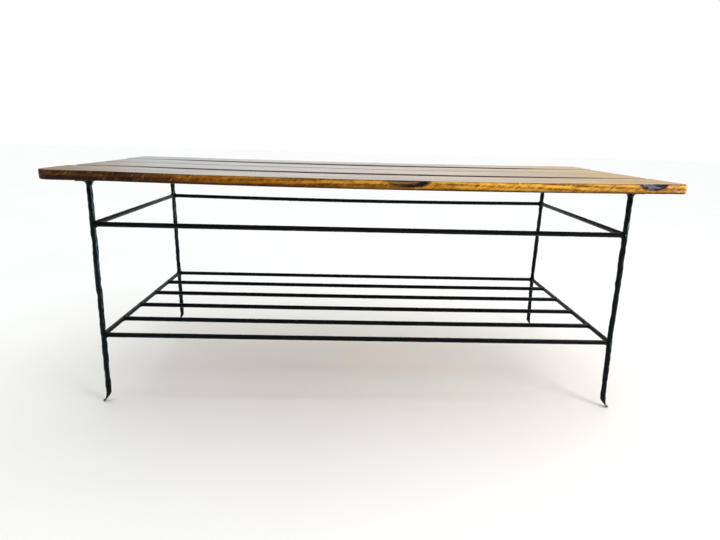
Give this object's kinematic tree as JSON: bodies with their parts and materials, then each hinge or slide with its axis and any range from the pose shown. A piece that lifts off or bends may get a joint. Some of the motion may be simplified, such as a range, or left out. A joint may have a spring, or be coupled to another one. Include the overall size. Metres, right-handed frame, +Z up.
{
  "type": "entryway bench",
  "caption": "Low bench with a jointed solid wood plank seat on a slim black round-bar frame, with a rod shelf below for shoes and out-curled feet.",
  "frame": {"origin": "on the floor, at the centre of the bench's footprint", "axes": "+X along the bench to the right of a person facing its front, +Y from front to rear, +Z up"},
  "size_m": [1.153, 0.466, 0.457],
  "materials": {
    "seat_wood": "honey-stained hardwood under a satin varnish",
    "black_frame": "satin black paint",
    "screw_steel": "zinc-plated"
  },
  "bodies": {
    "root": {"front_board": "seat_wood", "front_middle_board": "seat_wood", "rear_middle_board": "seat_wood", "rear_board": "seat_wood", "left_strap": "black_frame", "right_strap": "black_frame", "left_strap_screws": "screw_steel", "right_strap_screws": "screw_steel", "front_left_leg": "black_frame", "front_right_leg": "black_frame", "rear_left_leg": "black_frame", "rear_right_leg": "black_frame", "upper_front_rail": "black_frame", "upper_rear_rail": "black_frame", "upper_left_rail": "black_frame", "upper_right_rail": "black_frame", "shelf_front_rail": "black_frame", "shelf_rear_rail": "black_frame", "shelf_left_rail": "black_frame", "shelf_right_rail": "black_frame", "shelf_rod_1": "black_frame", "shelf_rod_2": "black_frame", "shelf_rod_3": "black_frame", "shelf_rod_4": "black_frame", "strap_welds": "black_frame", "upper_rail_welds": "black_frame", "shelf_rail_welds": "black_frame", "shelf_rod_welds": "black_frame"}
  },
  "joints": []
}
